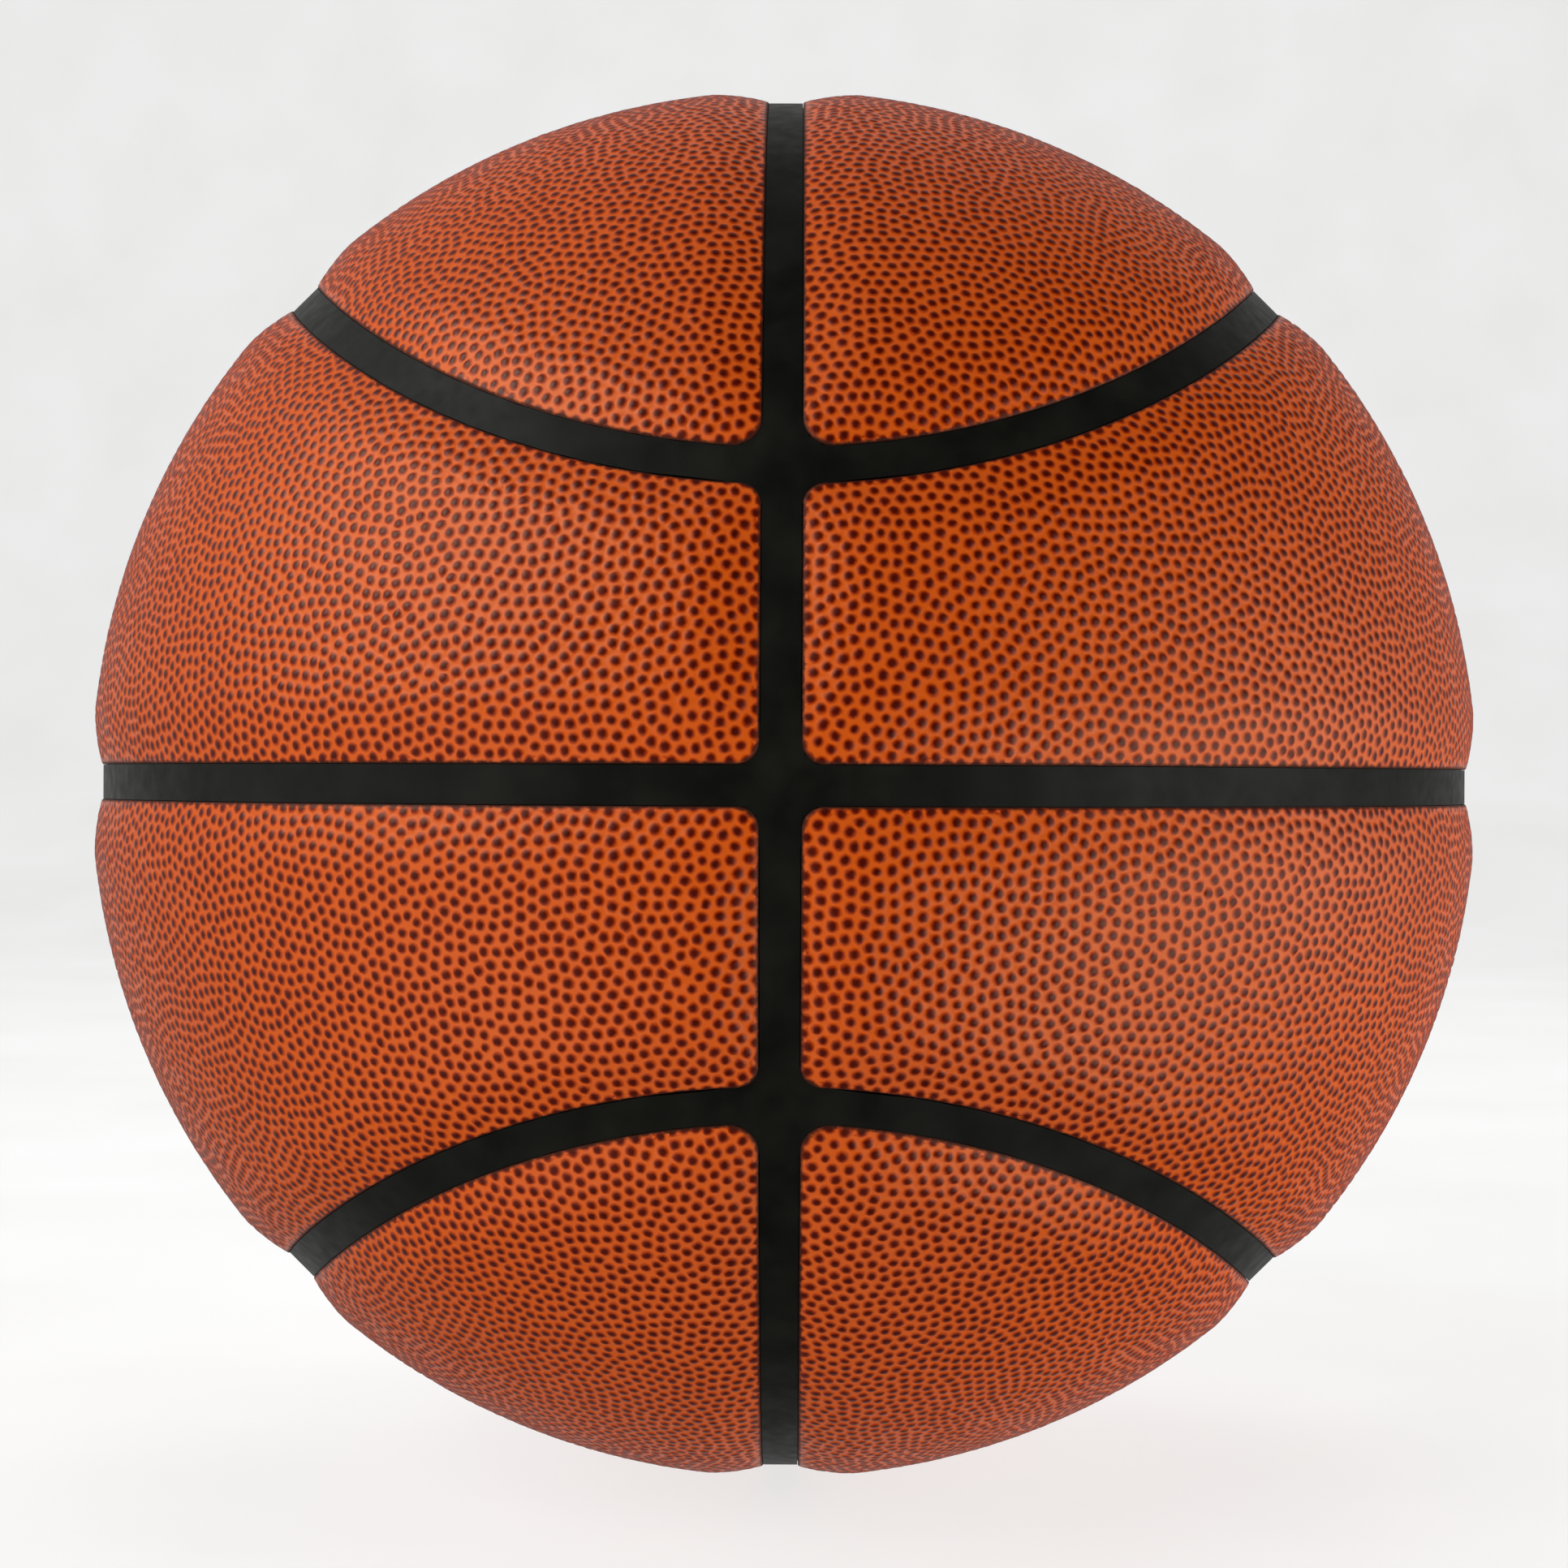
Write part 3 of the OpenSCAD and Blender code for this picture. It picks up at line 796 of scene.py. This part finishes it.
def wound_thread():
    """Thread wound round the ball in every direction, as three crossing sets of strands, with painted
    shade between the strands.
    """
    s = Shader("wound_thread")
    height = None
    for turn in STRAND_TURNS:
        lie = s.add("ShaderNodeMapping", {"Vector": s.place(), "Rotation": turn})
        strand = s.add("ShaderNodeTexWave", {
            "Vector": lie, "Scale": BAND_W / (STRAND_W * MM), "Distortion": 1.2, "Detail": 2,
            "Detail Scale": 0.4,
        }, 1)
        height = strand if height is None else s.maths("MAXIMUM", height, strand)
    # Painted shade: darker between the strands, where the bump is lowest
    tint = s.mix(height, (150, 142, 122), (226, 220, 204))
    tint = s.mix(s.ramp(s.noise(12, 3), 0.4, 0.7, 0, 0.35), tint, (204, 190, 158))
    rough = s.ramp(height, 0, 1, 0.85, 0.55)
    return s.finish(Base_Color=tint, Roughness=rough, Normal=s.bump(height, 0.1))


def paint(piece, material):
    for slot in piece.material_slots:
        slot.material = material
    if not piece.material_slots:
        piece.data.materials.append(material)


# Camera, light and floor

CAMERA_DISTANCE = 4.3 * BALL_R
CAMERA_AZIMUTH = math.radians(0.24)
CAMERA_ELEVATION = math.radians(0.1)
CAMERA_ROLL = math.radians(0.245)
CAMERA_LENS = 66.55
CAMERA_SENSOR_W = 36
CAMERA_NEAREST = 0.01

# Brightness of the surroundings straight behind the ball and straight to its left, as it mirrors
# them, and as they are seen past the floor
MIRRORED_BEHIND = 0.76
MIRRORED_LEFT = 0.25
SEEN_LEVEL = 0.85

# Lights round the ball: direction from its centre, with -Y towards the camera, and brightness. The
# soft ones light it evenly and the mirrored ones make its highlights. Some lie under the floor,
# which lets light through.
SOFT_LIGHTS = {
    "front_left": ((-0.6, -0.6, 0.5), 6.0),
    "right": ((1, 0, 0), 6.35),
    "back_top": ((0, 0.6, 0.8), 4.3),
    "low_right": ((0.6, -0.6, -0.5), 3.4),
    "low_left": ((-0.6, -0.6, -0.5), 3.05),
    "bottom": ((0, -0.2, -1), 1.2),
    "top": ((0, -0.2, 1), 1.05),
    "left": ((-1, 0, 0), 0.8),
    "back": ((0.1, 1, -0.5), 5.2),
}
MIRRORED_LIGHTS = {
    "mirrored_left": ((-0.79, -0.27, 0.55), 2.13),
    "mirrored_top": ((-0.62, -0.05, 0.78), 0.36),
    "mirrored_far_left": ((-0.92, -0.35, 0.15), 0.23),
    "mirrored_low": ((0.75, -0.565, -0.35), 1.39),
    "mirrored_high": ((0.82, -0.545, 0.19), 0.93),
    "mirrored_right": ((0.97, -0.1, -0.15), 0.81),
    "mirrored_low_right": ((0.88, -0.2, -0.5), 0.28),
}
SOFT_SIZE = 0.8
MIRRORED_SIZE = 0.65
LIGHT_DISTANCE = 1.2

# The floor: its level, its front end, the start of its bend up into the backdrop, the bend's radius
# and steps, the backdrop's top above the floor, their width and how brightly they glow
FLOOR_LEVEL = -0.1106
FLOOR_FRONT = -3.2
BEND_START = 1.3
BEND_R = 0.7
BEND_STEPS = 16
BACKDROP_H = 2.6
FLOOR_W = 5
FLOOR_GLOW = 0.88


def add_camera():
    camera = linked("camera", bpy.data.cameras.new("camera"))
    camera.data.lens = CAMERA_LENS
    camera.data.sensor_width = CAMERA_SENSOR_W
    camera.data.clip_start = CAMERA_NEAREST
    away = Vector((
        math.sin(CAMERA_AZIMUTH) * math.cos(CAMERA_ELEVATION),
        -math.cos(CAMERA_AZIMUTH) * math.cos(CAMERA_ELEVATION),
        math.sin(CAMERA_ELEVATION),
    ))
    turn = away.to_track_quat("Z", "Y").to_matrix() @ Matrix.Rotation(CAMERA_ROLL, 3, "Z")
    camera.matrix_world = Matrix.Translation(away * CAMERA_DISTANCE * MM) @ turn.to_4x4()
    bpy.context.scene.camera = camera


def add_light(name, direction, size, radiance):
    """A square light that faces the ball."""
    light = bpy.data.lights.new(name, "AREA")
    light.shape = "SQUARE"
    light.size = size
    light.energy = radiance * math.pi * size**2
    placed = linked(name, light)
    away = Vector(direction).normalized()
    turn = away.to_track_quat("Z", "Y").to_matrix()
    placed.matrix_world = Matrix.Translation(away * LIGHT_DISTANCE) @ turn.to_4x4()
    placed.visible_camera = False
    return placed


def add_floor():
    """A pale floor that curves up into a backdrop behind the ball."""
    profile = [(FLOOR_FRONT, FLOOR_LEVEL)]
    for i in range(BEND_STEPS + 1):
        turn = i / BEND_STEPS * math.pi / 2
        profile.append((
            BEND_START + BEND_R * math.sin(turn), FLOOR_LEVEL + BEND_R * (1 - math.cos(turn)),
        ))
    profile.append((BEND_START + BEND_R, FLOOR_LEVEL + BACKDROP_H))
    verts = [(side * FLOOR_W / 2, y, z) for y, z in profile for side in (-1, 1)]
    faces = [(2 * i, 2 * i + 1, 2 * i + 3, 2 * i + 2) for i in range(len(profile) - 1)]
    data = bpy.data.meshes.new("floor")
    data.from_pydata(verts, [], faces)
    data.shade_smooth()
    floor = linked("floor", data)
    s = Shader("pale_floor", Roughness=0.75)
    patches = s.ramp(s.noise(90, 3), *NOISE_RANGE)
    tint = s.mix(patches, (112, 112, 111), (118, 118, 118))
    glow = s.mix(patches, (238, 238, 237), (242, 242, 242))
    paint(floor, s.finish(Base_Color=tint, Emission_Color=glow, Emission_Strength=FLOOR_GLOW))
    floor.visible_glossy = False
    floor.visible_diffuse = False
    floor.visible_shadow = False


def add_world():
    """Pale surroundings. The ball mirrors them bright behind it, dim at its left, dark in front."""
    world = bpy.data.worlds.new("studio")
    world.use_nodes = True
    t = Tree(world.node_tree)
    background = t.tree.nodes["Background"]
    t.set(background.inputs["Color"], (1, 1, 1, 1))
    ray = t.tree.nodes.new("ShaderNodeLightPath").outputs
    right, back, _ = t.parts(t.add("ShaderNodeTexCoord", {}, "Generated"))
    behind = t.maths("MAXIMUM", back, 0)
    left = t.maths("MAXIMUM", t.maths("MULTIPLY", right, -1), 0)
    bright = t.maths("MULTIPLY", t.maths("MULTIPLY", behind, behind), MIRRORED_BEHIND)
    bright = t.maths("MULTIPLY_ADD", t.maths("MULTIPLY", left, left), MIRRORED_LEFT, bright)
    seen = t.maths("MULTIPLY", ray["Is Camera Ray"], SEEN_LEVEL)
    level = t.maths("MULTIPLY_ADD", ray["Is Glossy Ray"], bright, seen)
    t.set(background.inputs["Strength"], level)
    world.cycles.sampling_method = "NONE"
    bpy.context.scene.world = world


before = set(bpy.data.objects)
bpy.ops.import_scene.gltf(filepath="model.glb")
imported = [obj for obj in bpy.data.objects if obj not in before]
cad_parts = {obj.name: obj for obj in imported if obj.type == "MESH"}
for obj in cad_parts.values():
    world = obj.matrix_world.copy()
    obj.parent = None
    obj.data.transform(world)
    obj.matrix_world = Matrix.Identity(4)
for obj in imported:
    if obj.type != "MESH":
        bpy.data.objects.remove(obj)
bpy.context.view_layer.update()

# The panels' nodes: their shape, and whether they are in the upper and in the right half
panels = {
    "top_panel_right": (CAP, True, True),
    "top_panel_left": (CAP, True, False),
    "bottom_panel_right": (CAP, False, True),
    "bottom_panel_left": (CAP, False, False),
    "upper_side_panel_right": (SIDE, True, True),
    "upper_side_panel_left": (SIDE, True, False),
    "lower_side_panel_right": (SIDE, False, True),
    "lower_side_panel_left": (SIDE, False, False),
}
leather = cover_leather()
foam = sponge()
for number, (node, (shape, top, right)) in enumerate(panels.items()):
    # The valve comes through this one
    pierced = node == "upper_side_panel_right"
    pad_node = node.replace("panel", "pad")
    panel = build_panel("pebbled_" + node, shape, top, right, pierced, PANEL_SEED + number)
    pad = build_pad("sponge_" + pad_node, shape, top, right, pierced, PAD_SEED + number)
    for piece, material, replaced, slot in (
        (panel, leather, node, "cover"),
        (pad, foam, pad_node, "sponge"),
    ):
        paint(piece, material)
        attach(piece, "root")
        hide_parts(replaced)
for node, look in RUBBERS.items():
    paint(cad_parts[node], rubber(*look))
paint(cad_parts["thread_winding"], wound_thread())

add_camera()
add_world()
for name, (direction, radiance) in SOFT_LIGHTS.items():
    add_light(name, direction, SOFT_SIZE, radiance).visible_glossy = False
for name, (direction, radiance) in MIRRORED_LIGHTS.items():
    add_light(name, direction, MIRRORED_SIZE, radiance).visible_diffuse = False
add_floor()
bpy.context.scene.view_settings.view_transform = "Standard"
